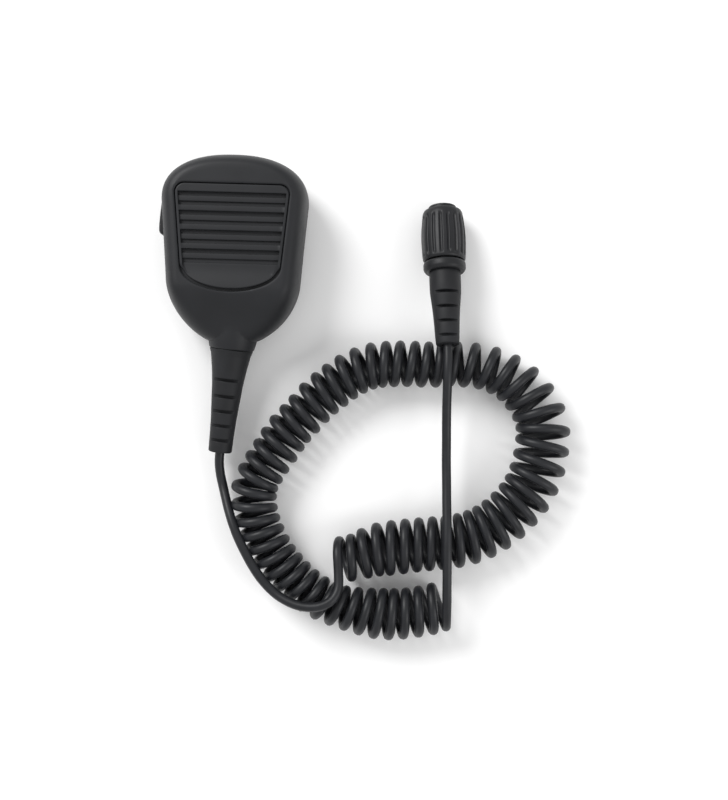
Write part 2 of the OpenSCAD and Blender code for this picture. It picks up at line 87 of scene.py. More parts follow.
class Signal:
    """A shader socket that Python's signs work on: each sign adds a Math node."""

    def __init__(self, finish, socket):
        self.finish, self.socket = finish, socket

    def math(self, operation, *values):
        settings = {"operation": operation}
        return self.finish.add("ShaderNodeMath", settings, dict(enumerate(values)))["Value"]

    def __add__(self, other):
        return self.math("ADD", self, other)

    def __sub__(self, other):
        return self.math("SUBTRACT", self, other)

    def __rsub__(self, other):
        return self.math("SUBTRACT", other, self)

    def __mul__(self, other):
        return self.math("MULTIPLY", self, other)

    __radd__ = __add__
    __rmul__ = __mul__


class Node:
    """A shader node whose outputs are signals."""

    def __init__(self, finish, node):
        self.finish, self.node = finish, node

    def __getitem__(self, name):
        return Signal(self.finish, self.node.outputs[name])


class Finish:
    """A material under way. add() makes any node, and shader() sets the surface."""

    def __init__(self, name):
        self.material = bpy.data.materials.new(name)
        self.material.use_nodes = True
        self.nodes = self.material.node_tree.nodes
        self.links = self.material.node_tree.links
        self.surface = self.nodes["Principled BSDF"]
        self.place = self.add("ShaderNodeTexCoord")["Object"]

    def add(self, kind, settings=None, inputs=None):
        node = self.nodes.new(kind)
        for name, value in (settings or {}).items():
            setattr(node, name, value)
        for name, value in (inputs or {}).items():
            self.feed(node.inputs[name], value)
        return Node(self, node)

    def feed(self, socket, value):
        if isinstance(value, Signal):
            self.links.new(value.socket, socket)
        else:
            socket.default_value = value

    def shader(self, **inputs):
        """Sets the surface's inputs, whose names are written with _ for each space."""
        for name, value in inputs.items():
            self.feed(self.surface.inputs[name.replace("_", " ")], value)

    def noise(self, size, detail=2.0, place=None):
        """Noise whose features are size metres across, from 0 to 1."""
        inputs = {"Vector": place or self.place, "Scale": 1 / size, "Detail": detail}
        return self.add("ShaderNodeTexNoise", None, inputs)["Fac"]

    def step(self, signal, low, high):
        """0 where signal is under low, 1 where it is over high."""
        inputs = {"Value": signal, "From Min": low, "From Max": high}
        return self.add("ShaderNodeMapRange", {"clamp": True}, inputs)["Result"]

    def blend(self, share, first, second):
        """A colour that goes from first to second: each is a colour or a signal."""
        node = self.nodes.new("ShaderNodeMix")
        node.data_type = "RGBA"
        for socket in [s for s in node.inputs if s.enabled]:
            value = {"Factor": share, "A": first, "B": second}[socket.name]
            self.feed(socket, (*value, 1) if isinstance(value, tuple) else value)
        return Signal(self, [s for s in node.outputs if s.enabled][0])

    def bump(self, height, depth, strength=1.0):
        inputs = {"Height": height, "Distance": depth, "Strength": strength}
        return self.add("ShaderNodeBump", None, inputs)["Normal"]

    def worn_and_highlit_edges(self, low=0.52, high=0.62):
        """1 along sharp outer edges, where handling polishes the surface and where the colour is lightened: partly
        wear, partly a painted highlight.
        """
        return self.step(self.add("ShaderNodeNewGeometry")["Pointiness"], low, high)


def lighter(colour, times):
    return tuple(min(1.0, c * times) for c in colour)


floor_finish = Finish("studio_floor")
floor_tone = floor_finish.blend(floor_finish.noise(0.3), (0.93, 0.93, 0.93), (0.96, 0.96, 0.96))
floor_finish.shader(Base_Color=floor_tone, Roughness=0.9, Specular_IOR_Level=0.0)
floor_mesh = bpy.data.meshes.new("studio_floor")
floor_half = 4.0
floor_mesh.from_pydata(
    [(-floor_half, -floor_half, 0), (floor_half, -floor_half, 0),
     (floor_half, floor_half, 0), (-floor_half, floor_half, 0)], [], [(0, 1, 2, 3)])
floor_mesh.materials.append(floor_finish.material)
floor = bpy.data.objects.new("studio_floor", floor_mesh)
bpy.context.scene.collection.objects.link(floor)
floor.location.z = -0.0001


# ---------------------------------------------------------------------------------------------
# Curly cord. One round jacket of soft black polyurethane over twisted conductors: a straight
# tail at the microphone, a left-handed coil set by heat on a mandrel, and a straight tail to
# the plug. It lies in one loop. Its first turns spread wider and stand further apart.
CORD_WIDTH = 0.004
COIL_WIDTH = 0.019
COIL_ROUTE = [
    (.0531, -.1429), (.0631, -.1394), (.0732, -.1377), (.0841, -.1362), (.0951, -.1349),
    (.1051, -.1321), (.1142, -.1269), (.1218, -.1198), (.1276, -.1118), (.131, -.1031),
    (.1327, -.0933), (.1326, -.0837), (.1283, -.0741), (.1203, -.0657), (.1097, -.0606),
    (.0972, -.059), (.0841, -.0595), (.0711, -.0595), (.0591, -.0608), (.0504, -.0646),
    (.0429, -.0701), (.036, -.0762), (.0306, -.0825), (.0247, -.0892), (.0196, -.097),
    (.014, -.106), (.0106, -.1136), (.0104, -.1207), (.0118, -.1278), (.015, -.1354),
    (.02, -.1438), (.027, -.1512), (.0358, -.1581), (.0459, -.163), (.057, -.1655),
    (.0681, -.1665), (.079, -.1656), (.091, -.163),
]
HANDSET_ROUTE = [
    (-.0049, -.1041, .0090), (-.0043, -.1091, .0083), (-.0030, -.1141, .0086),
    (-.0015, -.119, .0104), (.0002, -.124, .0128), (.0021, -.129, .0146), (.0047, -.1349, .0158),
    (.0083, -.1416, .0166), (.0117, -.1472, .017), (.0156, -.1524, .0173), (.021, -.1575, .018),
    (.0259, -.1603, .0193), (.0309, -.162, .0204), (.0359, -.1625, .0212), (.0404, -.1619, .0215),
    (.0449, -.1596, .0209), (.0475, -.1552, .0192),
]
PLUG_ROUTE = [
    (.0933, -.1702, .0058), (.0938, -.1712, .0095), (.0937, -.170, .0137), (.0935, -.1659, .017),
    (.0933, -.1594, .0192), (.093, -.1514, .0209), (.0928, -.1435, .0215), (.0926, -.1355, .0215),
    (.0924, -.1275, .0206), (.0921, -.1185, .0188), (.0919, -.1095, .0172), (.0916, -.1005, .0164),
    (.0914, -.0915, .0165), (.0911, -.0825, .0177), (.0909, -.0745, .0196), (.0908, -.0675, .0215),
    (.0907, -.0615, .022), (.0907, -.056, .0213),
]
COIL_LEAD_IN = (.0468, -.1439)
COIL_HALF_WIDTH, LEANING_HALF_WIDTH = 0.0101, 0.0119
TURN_STEP = 0.0058
OPEN_TURN_STEP = 0.0075
POINTS_PER_TURN = 24
LAST_TURN_ANGLE = 205.0

relief_lean, relief_droop = math.radians(5.4), math.radians(5.0)
relief_root = Vector((0, -0.050, 0.014))
relief_dir = Vector((-math.sin(relief_lean) * math.cos(relief_droop),
                     -math.cos(relief_lean) * math.cos(relief_droop), -math.sin(relief_droop)))
relief_length = 0.0496
cord_exit = relief_root + relief_length * relief_dir

plug_mount = [m for m in frame["record"]["mounts"] if m["name"] == "plug_mate"][0]
plug_tip = Vector(plug_mount["pos_m"])
plug_dir = -Vector(plug_mount["axis"]).normalized()
plug_length = 0.0608
plug_end = plug_tip + plug_length * plug_dir


def flowing_line(points, step):
    """A smooth curve through points, as points step apart."""
    points = [Vector(p) for p in points]
    padded = [2 * points[0] - points[1], *points, 2 * points[-1] - points[-2]]
    dense = []
    for a, b, c, d in zip(padded, padded[1:], padded[2:], padded[3:]):
        knots = [0.0]
        for p, q in ((a, b), (b, c), (c, d)):
            knots.append(knots[-1] + math.sqrt(max((q - p).length, 1e-9)))
        count = max(2, int((c - b).length / step * 2))
        for i in range(count):
            t = knots[1] + (knots[2] - knots[1]) * i / count
            line = [(knots[k], knots[k + 1], p, q) for k, (p, q) in enumerate(((a, b), (b, c), (c, d)))]
            first = [p + (q - p) * (t - k0) / (k1 - k0) for k0, k1, p, q in line]
            second = [first[k] + (first[k + 1] - first[k]) * (t - knots[k]) / (knots[k + 2] - knots[k])
                      for k in (0, 1)]
            dense.append(second[0] + (second[1] - second[0]) * (t - knots[1]) / (knots[2] - knots[1]))
    dense.append(points[-1])
    return even_line(dense, step)


def even_line(dense, step):
    """The same line with its points step apart, its two ends kept."""
    line, left = [dense[0]], step
    for p, q in zip(dense, dense[1:]):
        span = (q - p).length
        while span >= left and span > 0:
            p = p + (q - p) * left / span
            line.append(p)
            span, left = (q - p).length, step
        left -= span
    if (line[-1] - dense[-1]).length < 0.4 * step:
        line.pop()
    line.append(dense[-1])
    return line


def eased(t):
    t = min(1.0, max(0.0, t))
    return t * t * (3 - 2 * t)


def coil_half_width(share):
    """Half width of the coil at a share of its route: leaning turns spread, crossing ones don't."""
    leaning = eased(share / 0.06) * (1 - eased((share - 0.30) / 0.1))
    return (COIL_HALF_WIDTH + (LEANING_HALF_WIDTH - COIL_HALF_WIDTH) * leaning
            - 0.0006 * eased((share - 0.80) / 0.05) + 0.0017 * eased((share - 0.88) / 0.06))


def coil_turns():
    """The helix round the coil's route, its turns set a little wider apart where it opens."""
    axis = flowing_line([(*p, COIL_WIDTH / 2) for p in (COIL_LEAD_IN, *COIL_ROUTE)], 0.0002)
    radius = (COIL_WIDTH - CORD_WIDTH) / 2
    total = len(axis) - 1
    turns = [0.0]
    for i in range(total):
        open_here = eased((i / total - 0.12) / 0.22) * (1 - eased((i / total - 0.40) / 0.06))
        step = TURN_STEP + (OPEN_TURN_STEP - TURN_STEP) * open_here
        turns.append(turns[-1] + (axis[i + 1] - axis[i]).length / step)
    whole = round(turns[-1] - LAST_TURN_ANGLE / 360) + LAST_TURN_ANGLE / 360
    turns = [t * whole / turns[-1] for t in turns]
    line, i = [], 0
    for k in range(int(whole * POINTS_PER_TURN) + 1):
        turn = k / POINTS_PER_TURN
        while i < total - 1 and turns[i + 1] < turn:
            i += 1
        share = (turn - turns[i]) / (turns[i + 1] - turns[i])
        centre = axis[i].lerp(axis[i + 1], share)
        ahead = (axis[min(i + 20, total)] - axis[max(i - 20, 0)]).normalized()
        left = Vector((0, 0, 1)).cross(ahead)
        angle = 2 * math.pi * turn
        unevenness = 1 - 0.012 * (1 + math.sin(0.73 * turn + 2 * math.sin(0.31 * turn)))
        slip = 0.00035 * math.sin(1.1 * turn) * math.sin(0.43 * turn + 1)
        sideways = coil_half_width(i / total) - CORD_WIDTH / 2
        line.append(centre + slip * ahead + unevenness * (
            radius * math.cos(angle) * Vector((0, 0, 1)) + sideways * math.sin(angle) * left))
    return line


helix = coil_turns()
tail_in = flowing_line([cord_exit, cord_exit + 0.002 * relief_dir, *HANDSET_ROUTE,
                        helix[0] + Vector((.0007, -.0045, .0007)), *helix[2:8:2]], 0.002)
tail_in = tail_in[:min(range(len(tail_in)), key=lambda i: (tail_in[i] - helix[3]).length)]
tail_out = flowing_line([*helix[-9:-2:2], *PLUG_ROUTE, plug_end + 0.002 * plug_dir, plug_end], 0.002)
tail_out = tail_out[1 + min(range(len(tail_out)), key=lambda i: (tail_out[i] - helix[-4]).length):]
cord_line = [*tail_in, *helix[3:-3], *tail_out]

cord_curve = bpy.data.curves.new("curly_cord", "CURVE")
cord_curve.dimensions = "3D"
cord_curve.bevel_depth = CORD_WIDTH / 2
cord_curve.bevel_resolution = 4
cord_curve.use_fill_caps = True
spline = cord_curve.splines.new("POLY")
spline.points.add(len(cord_line) - 1)
for point, place in zip(spline.points, cord_line):
    point.co = (*place, 1)
spline.use_smooth = True
curly_cord = bpy.data.objects.new("curly_cord", cord_curve)
bpy.context.scene.collection.objects.link(curly_cord)

jacket_colour = (0.0085, 0.0092, 0.0112)
jacket = Finish("cord_jacket")
jacket_shade = jacket.step(jacket.noise(0.006, 3), 0.35, 0.7)
jacket_grain = jacket.noise(0.0005, 3)
jacket.shader(
    Base_Color=jacket.blend(jacket_shade, jacket_colour, lighter(jacket_colour, 1.45)),
    Roughness=0.36 + 0.14 * jacket.noise(0.0022, 4),
    Normal=jacket.bump(jacket_grain + 0.7 * jacket.noise(0.0028), 0.00003, 0.7),
    Specular_IOR_Level=0.35)
cord_curve.materials.append(jacket.material)
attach(curly_cord, "handset")
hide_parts("handset_tail", "coil_sleeve", "plug_tail")


# ---------------------------------------------------------------------------------------------
# Front shell. Injection-moulded ABS with a fine spark-eroded grain. Its rim is rounded into the
# face, the face falls away towards the cord, and a panel for the grille is let into it.
PARTING = 15.0
WALL = 2.2
SHOULDER, WAIST = 30.6, 28.0
CROWN_Y, CROWN_H, CROWN_POWER = 6.0, 19.3, 2.3
JAW_Y, JAW_H, JAW_POWER = -26.0, 28.6, 1.85
EDGE, EDGE_POWER, EDGE_STEPS = 7.0, 2.6, 18
FRONT_RISE, BACK_DROP, SWELL_DROP = 18.0, 10.0, 15.0
CURVE_STEPS, SIDE_STEPS = 44, 20
SEAM = 0.5
PANEL_HALF_W, PANEL_TOP, PANEL_CORNER = 23.6, 11.5, 4.0
RIM_DEGREES = 85.4
CHIN_Y, CHIN_HALF_W, CHIN_H = -22.0, 20.8, 10.6


def front_rise(y):
    return FRONT_RISE - 9.5 * eased((-30 - y) / 23)


def back_drop(y):
    return BACK_DROP + (SWELL_DROP - BACK_DROP) * eased((-6 - y) / 18) - 6.5 * eased((-40 - y) / 13)


def outline(inset):
    """The housing's outline drawn in by inset, from the top centre round by the right, in mm."""
    right = []
    for k in range(CURVE_STEPS + 1):
        t = math.pi / 2 * (1 - k / CURVE_STEPS)
        right.append(((SHOULDER - inset) * max(0, math.cos(t)) ** (2 / CROWN_POWER),
                      CROWN_Y + (CROWN_H - inset) * math.sin(t) ** (2 / CROWN_POWER)))
    for k in range(1, SIDE_STEPS + 1):
        t = k / SIDE_STEPS
        right.append(((SHOULDER - inset) * (1 - t) + (WAIST - inset) * t, CROWN_Y * (1 - t) + JAW_Y * t))
    for k in range(1, CURVE_STEPS + 1):
        t = math.pi / 2 * k / CURVE_STEPS
        right.append(((WAIST - inset) * max(0, math.cos(t)) ** (2 / JAW_POWER),
                      JAW_Y - (JAW_H - inset) * math.sin(t) ** (2 / JAW_POWER)))
    right[0], right[-1] = (0.0, right[0][1]), (0.0, right[-1][1])
    return right + [(-x, y) for x, y in right[-2:0:-1]]


def edge_ring(side, inset, angle):
    """One ring of the rounded rim: side is 1 on the front half and -1 on the back half."""
    rise = front_rise if side > 0 else back_drop
    drawn_in = inset + EDGE * (1 - max(0, math.cos(angle)) ** (2 / EDGE_POWER))
    up = math.sin(angle) ** (2 / EDGE_POWER)
    return [(x, y, PARTING + side * max(SEAM if inset == 0 else 0.0, (rise(y) - inset) * up))
            for x, y in outline(drawn_in)]


def flat_ring(inset, height):
    return [(x, y, height) for x, y in outline(inset)]


def across(ring_start, count):
    """Faces that close a ring whose two sides mirror each other."""
    half = count // 2
    faces = [(ring_start, ring_start + 1, ring_start + count - 1)]
    for i in range(1, half - 1):
        left = ring_start + count - i
        faces.append((ring_start + i, ring_start + i + 1, left - 1, left))
    faces.append((ring_start + half - 1, ring_start + half, ring_start + half + 1))
    return faces


def new_mesh(name, vertices, faces, sharp_degrees=35.0, merge=0.0):
    """A mesh object from points in millimetres."""
    mesh = bpy.data.meshes.new(name)
    mesh.from_pydata([Vector(v) * MM for v in vertices], [], faces)
    work = bmesh.new()
    work.from_mesh(mesh)
    if merge:
        bmesh.ops.remove_doubles(work, verts=work.verts, dist=merge * MM)
    bmesh.ops.recalc_face_normals(work, faces=work.faces)
    work.to_mesh(mesh)
    work.free()
    mesh.shade_smooth()
    mesh.set_sharp_from_angle(angle=math.radians(sharp_degrees))
    piece = bpy.data.objects.new(name, mesh)
    bpy.context.scene.collection.objects.link(piece)
    return piece


def ringed(name, rings):
    """A closed skin over rings of equal counts, from the first to the last."""
    count = len(rings[0])
    faces = []
    for r in range(len(rings) - 1):
        for i in range(count):
            a, b = r * count + i, r * count + (i + 1) % count
            faces.append((a, b, b + count, a + count))
    faces += across(0, count) + across((len(rings) - 1) * count, count)
    return new_mesh(name, [v for ring in rings for v in ring], faces)


def applied(piece):
    """The piece with its modifiers made permanent."""
    bpy.context.view_layer.update()
    seen = piece.evaluated_get(bpy.context.evaluated_depsgraph_get())
    mesh = bpy.data.meshes.new_from_object(seen)
    piece.modifiers.clear()
    piece.data = mesh
    mesh.name = piece.name
    return piece


def carve(piece, cutters, operation="DIFFERENCE", sharp_degrees=35.0):
    """Cuts the cutters out of the piece, or joins them to it, and removes them."""
    for cutter in cutters:
        modifier = piece.modifiers.new("carve", "BOOLEAN")
        modifier.operation = operation
        modifier.solver = "EXACT"
        modifier.object = cutter
        applied(piece)
        bpy.data.objects.remove(cutter)
    piece.data.shade_smooth()
    piece.data.set_sharp_from_angle(angle=math.radians(sharp_degrees))
    return piece


def fitted(piece, body, slot, finish, *nodes):
    """Gives a finished piece its material and its body, and hides the CAD nodes it stands for. The slot argument
    is not used.
    """
    piece.data.materials.clear()
    piece.data.materials.append(finish.material)
    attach(piece, body)
    if nodes:
        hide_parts(*nodes)
    return piece


def block(name, low, high):
    corners = [(x, y, z) for z in (low[2], high[2]) for y in (low[1], high[1]) for x in (low[0], high[0])]
    faces = [(0, 2, 3, 1), (4, 5, 7, 6), (0, 1, 5, 4), (2, 6, 7, 3), (0, 4, 6, 2), (1, 3, 7, 5)]
    return new_mesh(name, corners, faces)


def rod(name, start, end, radius, sides=64):
    """A plain cylinder from start to end, in millimetres."""
    start, end = Vector(start), Vector(end)
    turn = (end - start).to_track_quat("Z", "Y").to_matrix()
    ring = [turn @ Vector((radius * math.cos(2 * math.pi * k / sides),
                           radius * math.sin(2 * math.pi * k / sides), 0)) for k in range(sides)]
    vertices = [start + v for v in ring] + [end + v for v in ring]
    faces = [tuple(range(sides - 1, -1, -1)), tuple(range(sides, 2 * sides))]
    faces += [(k, (k + 1) % sides, sides + (k + 1) % sides, sides + k) for k in range(sides)]
    return new_mesh(name, vertices, faces)


def panel_outline(drawn_in, chin_drawn_in):
    """The grille panel's outline: slanting sides, rounded top corners and a curved chin."""
    w, top, chin_w = PANEL_HALF_W - drawn_in, PANEL_TOP - drawn_in, CHIN_HALF_W - chin_drawn_in
    right = [(0.0, top)]
    for k in range(13):
        t = math.pi / 2 * (1 - k / 12)
        right.append((w - PANEL_CORNER + PANEL_CORNER * math.cos(t),
                      top - PANEL_CORNER + PANEL_CORNER * math.sin(t)))
    side_top = top - PANEL_CORNER
    for k in range(1, 8):
        y = side_top + (CHIN_Y - side_top) * k / 8
        right.append((w + (CHIN_HALF_W - drawn_in - w) * k / 8, y))
    for k in range(49):
        t = math.pi / 2 * k / 48
        blend = eased(1 - k / 8) * (chin_drawn_in - drawn_in)
        right.append((chin_w * math.cos(t) + blend, CHIN_Y - (CHIN_H - chin_drawn_in) * math.sin(t)))
    right[-1] = (0.0, right[-1][1])
    return right + [(-x, y) for x, y in right[-2:0:-1]]


def on_outline(shape, centre, direction):
    """Where the ray from centre along direction leaves a closed outline."""
    far = 0.0
    for (ax, ay), (bx, by) in zip(shape, shape[1:] + shape[:1]):
        ex, ey = bx - ax, by - ay
        cross = direction[0] * ey - direction[1] * ex
        if abs(cross) < 1e-12:
            continue
        along = ((ax - centre[0]) * ey - (ay - centre[1]) * ex) / cross
        share = ((ax - centre[0]) * direction[1] - (ay - centre[1]) * direction[0]) / cross
        if along > 0 and -1e-6 <= share <= 1 + 1e-6:
            far = max(far, along)
    return centre[0] + far * direction[0], centre[1] + far * direction[1]


def face_ring(shape, rim, share=None, gap=0.0, drop=0.0, height=None):
    """A ring on the face, some share of the way from the rim to gap mm from the panel's edge."""
    ring = []
    for x, y, _ in rim:
        px, py = on_outline(shape, PANEL_MIDDLE, (x - PANEL_MIDDLE[0], y - PANEL_MIDDLE[1]))
        way = Vector((x - px, y - py))
        away = way.normalized() * min(gap, way.length * 0.9)
        px, py = px + away.x, py + away.y
        if share is not None:
            px, py = x + (px - x) * share, y + (py - y) * share
        ring.append((px, py, PARTING + front_rise(py) - drop if height is None else height))
    for k in (0, len(ring) // 2):
        ring[k] = (0.0, *ring[k][1:])
    return ring


def rim_angles(last, steps):
    return [math.radians(last) * k / steps for k in range(1, steps + 1)]


PANEL_MIDDLE = (0.0, -7.0)
LIP = 0.75
recess = panel_outline(0.0, 0.0)
rim_rings = [edge_ring(1, 0.0, a) for a in rim_angles(RIM_DEGREES, EDGE_STEPS)]
rim = rim_rings[-1]
front_rings = [
    *[edge_ring(1, WALL, a) for a in reversed(rim_angles(90, 8))],
    flat_ring(WALL, PARTING + 0.05), flat_ring(0.55, PARTING + 0.05),
    flat_ring(0.3, PARTING + 0.1), flat_ring(0.1, PARTING + 0.26), flat_ring(0.0, PARTING + SEAM),
    *rim_rings,
    *[face_ring(recess, rim, share, LIP) for share in (0.2, 0.4, 0.6, 0.8, 0.95)],
    *[face_ring(recess, rim, None, LIP * (1 - math.sin(a)), LIP * (1 - math.cos(a)))
      for a in rim_angles(90, 6)],
    face_ring(recess, rim, None, 0.0, height=31.0),
]
front_shell = ringed("front_shell_moulding", front_rings)

PLASTIC_GLOSS = 0.27
PADDLE_WINDOW = ((-40, -9.3, 8.7), (-24, 12.9, 21.3))
NECK_BORE = 7.15
relief_place = (relief_root / MM, relief_dir)


def axis_frame(origin, direction):
    """A matrix, in millimetres, whose Z runs along direction from origin, and whose Y is up."""
    turn = Vector(direction).to_track_quat("Z", "Y").to_matrix().to_4x4()
    return Matrix.Translation(Vector(origin)) @ turn


def rounded_profile(points, steps=4):
    """Closed profile points (radius, distance, corner radius), with the corners made round."""
    result = []
    for i, (x, y, r) in enumerate(points):
        here = Vector((x, y))
        before, after = Vector(points[i - 1][:2]), Vector(points[(i + 1) % len(points)][:2])
        if r <= 0:
            result.append((x, y))
            continue
        a, b = before - here, after - here
        reach = min(r, 0.48 * a.length, 0.48 * b.length)
        start, end = here + a.normalized() * reach, here + b.normalized() * reach
        for k in range(steps + 1):
            t = k / steps
            p = start * (1 - t) ** 2 + here * 2 * t * (1 - t) + end * t ** 2
            result.append((p.x, p.y))
    return result


def lathe(name, profile, origin, direction, sides=96, shape=None, sharp_degrees=40.0):
    """Sweeps a closed profile of (radius, distance, corner radius) round direction from origin.

    shape changes the radius of a point from its radius, distance and angle."""
    points, place, vertices = rounded_profile(profile), axis_frame(origin, direction), []
    for k in range(sides):
        a = 2 * math.pi * k / sides
        for r, s in points:
            radius = shape(r, s, a) if shape else r
            vertices.append(place @ Vector((radius * math.cos(a), radius * math.sin(a), s)))
    n, faces = len(points), []
    for k in range(sides):
        for i in range(n):
            j, m = (i + 1) % n, (k + 1) % sides
            if points[i][0] > 1e-6 or points[j][0] > 1e-6:
                faces.append((k * n + i, k * n + j, m * n + j, m * n + i))
    return new_mesh(name, vertices, faces, sharp_degrees, merge=0.0005)


def neck(name):
    """The round neck at the cord's end of the housing, in which the strain relief sits."""
    return lathe(name, [
        (6, -4.4, 0), (10.95, -4.4, 0), (10.75, -2.4, 0), (10.55, -0.6, 0), (10.35, 1, 0), (10.1, 2.4, 0),
        (9.85, 3.6, 0), (9.5, 5.1, 0.5), (8.9, 5.4, 0.2), (6, 5.4, 0)], *relief_place, 128)


def neck_bore():
    """Cuts the round mouth for the strain relief."""
    return rod("neck_bore", (relief_root - 0.008 * relief_dir) / MM, (relief_root + 0.03 * relief_dir) / MM,
               NECK_BORE, 96)


front_neck = neck("front_neck")
carve(front_neck, [block("lower_half", (-30, -80, -20), (30, -30, PARTING + 0.05))])
carve(front_shell, [front_neck], "UNION")
carve(front_shell, [block("window", *PADDLE_WINDOW), neck_bore()])


def grained_plastic(name, colour, grain=0.00035, rough=0.46, wear_and_highlight=0.5):
    """Moulded plastic with a spark-eroded grain, slightly polished where hands and edges rub; its sharp edges are
    lighter, partly from wear and partly as a painted highlight.
    """
    finish = Finish(name)
    cells = finish.add("ShaderNodeTexVoronoi", {"feature": "SMOOTH_F1"},
                       {"Vector": finish.place, "Scale": 1 / grain, "Smoothness": 0.6})["Distance"]
    patches = finish.step(finish.noise(0.014, 3), 0.35, 0.72)
    edges = finish.worn_and_highlit_edges()
    tone = finish.blend(patches, lighter(colour, 0.92), lighter(colour, 1.1))
    finish.shader(
        # Sharp outer edges go lighter: partly wear, partly a painted highlight.
        Base_Color=finish.blend(edges * wear_and_highlight, tone, lighter(colour, 1.9)),
        Roughness=rough + 0.1 * patches - 0.12 * edges,
        Normal=finish.bump(cells + 0.5 * finish.noise(grain * 0.6, 2), 0.00003, 0.55),
        Specular_IOR_Level=PLASTIC_GLOSS)
    return finish


shell_plastic = grained_plastic("front_plastic", (0.0135, 0.0142, 0.0162))
fitted(front_shell, "handset", "front_plastic", shell_plastic, "front_shell")


# ---------------------------------------------------------------------------------------------
# Grille panel. Part of the front moulding: eight slots in four sunk bands, so that high and low
# ribs take turns, and a smooth tilted chin under them that ends in a curved groove.
SLOTS, SLOT_TOP, SLOT_PITCH, SLOT_WIDTH, SLOT_MARGIN = 8, 7.0, 3.9, 1.6, 1.4
PLATE_TOP, HIGH_RIB, LOW_RIB, SLOT_FLOOR = 32.8, 32.75, 31.9, 30.76
RIB_ROUND, PLATE_GAP, CHIN_GAP = 0.3, 0.3, 1.15
CHIN_LOW, CHIN_HIGH = 31.55, 32.95
plate_shape = panel_outline(PLATE_GAP, CHIN_GAP)
plate_top_y = PANEL_TOP - PLATE_GAP
plate_bottom_y = min(y for _, y in plate_shape)


def plate_half_width(y):
    """Half width of the plate at y."""
    best = 0.0
    for (ax, ay), (bx, by) in zip(plate_shape, plate_shape[1:] + plate_shape[:1]):
        if ax >= 0 and bx >= 0 and min(ay, by) <= y <= max(ay, by) and abs(ay - by) > 1e-9:
            best = max(best, ax + (bx - ax) * (y - ay) / (by - ay))
    return best


def from_plate_edge(x, y):
    """Distance from a place on the plate to the plate's outline."""
    nearest = 9.0
    for (ax, ay), (bx, by) in zip(plate_shape, plate_shape[1:] + plate_shape[:1]):
        ex, ey = bx - ax, by - ay
        t = min(1.0, max(0.0, ((x - ax) * ex + (y - ay) * ey) / max(ex * ex + ey * ey, 1e-9)))
        nearest = min(nearest, math.hypot(x - ax - t * ex, y - ay - t * ey))
    return nearest


def chin_height(y):
    """The chin climbs from the last slot to the groove."""
    return CHIN_LOW + (CHIN_HIGH - CHIN_LOW) * eased((SLOT_TOP - 7 * SLOT_PITCH - 1.2 - y) / 11)


def slot_wall(edge, away, top):
    """Rows down one side of a slot: (y, height) from the rib's rounded top to the slot's floor."""
    rows = [(edge + away * RIB_ROUND * (1 - math.sin(a)), top - RIB_ROUND * (1 - math.cos(a)))
            for a in (0.0, 0.35, 0.75, 1.15, math.pi / 2)]
    return [*rows, (edge - away * 0.03, SLOT_FLOOR)]


def plate_rows():
    """Rows of the plate from top to chin: (y, height within the slots' length, outside it)."""
    rows = [(plate_top_y - d, PLATE_TOP, PLATE_TOP) for d in (0.001, 0.05, 0.15, 0.3, 0.6, 1.2, 2, 2.8)]
    for k in range(SLOTS):
        middle = SLOT_TOP - k * SLOT_PITCH
        above = (PLATE_TOP, HIGH_RIB)[k > 0] if k % 2 == 0 else LOW_RIB
        below = LOW_RIB if k % 2 == 0 else HIGH_RIB if k < SLOTS - 1 else chin_height(middle)
        upper = slot_wall(middle + SLOT_WIDTH / 2, 1, above)
        lower = slot_wall(middle - SLOT_WIDTH / 2, -1, below)
        rows += [(y, z, PLATE_TOP) for y, z in [*upper, *reversed(lower)]]
    last = rows[-1][0]
    for k in range(1, 31):
        y = last + (plate_bottom_y + 0.01 - last) * (1 - (1 - k / 30) ** 1.8)
        outside = chin_height(y) + (PLATE_TOP - chin_height(y)) * (1 - eased(k / 8))
        rows.append((y, chin_height(y), outside))
    return rows


edge_gaps = [0.0, 0.04, 0.12, 0.24, 0.4, 0.8, 0.96, 1.02, 1.06, 1.1, 1.14]
across_plate = [(gap, 0.0) for gap in edge_gaps] + [(1.14, 1 - k / 16) for k in range(1, 16)]
vertices, rows = [], plate_rows()
for y, inside, outside in rows:
    half = max(0.05, plate_half_width(y))
    squeeze = min(1.0, half / 3)
    right = []
    for gap, share in across_plate:
        from_edge = gap * squeeze
        x = half - from_edge if share == 0.0 else (half - from_edge) * share
        deep = eased((gap - (SLOT_MARGIN - PLATE_GAP - 0.06)) / 0.12)
        z = outside + (inside - outside) * deep
        edge = min(1.0, from_plate_edge(x, y) / 0.4)
        right.append((x, y, z - 0.35 * (1 - math.sqrt(1 - (1 - edge) ** 2))))
    middle = (0.0, y, right[-1][2])
    vertices += [(-x, y, z) for x, y, z in right] + [middle] + right[::-1]
wide, deep = 2 * len(across_plate) + 1, len(rows)
faces = [(r * wide + c, r * wide + c + 1, (r + 1) * wide + c + 1, (r + 1) * wide + c)
         for r in range(deep - 1) for c in range(wide - 1)]
border = ([c for c in range(wide)] + [r * wide + wide - 1 for r in range(1, deep)]
          + [(deep - 1) * wide + c for c in range(wide - 2, -1, -1)]
          + [r * wide for r in range(deep - 2, 0, -1)])
foot = len(vertices)
vertices += [(vertices[i][0], vertices[i][1], 30.74) for i in border]
count = len(border)
faces += [(border[k], foot + k, foot + (k + 1) % count, border[(k + 1) % count]) for k in range(count)]
faces.append(tuple(range(foot, foot + count)))
grille_panel = new_mesh("grille_panel", vertices, faces, 40.0)
fitted(grille_panel, "handset", "front_plastic", shell_plastic)


# ---------------------------------------------------------------------------------------------
# Back shell. The same grained ABS. It carries the stud's flat seat, four wells for the case
# screws, and a palm swell that touches the table.
SCREWS = [(-14, 16.6), (14, 16.6), (-12, -38), (12, -38)]
SCREW_SEAT = 8.4

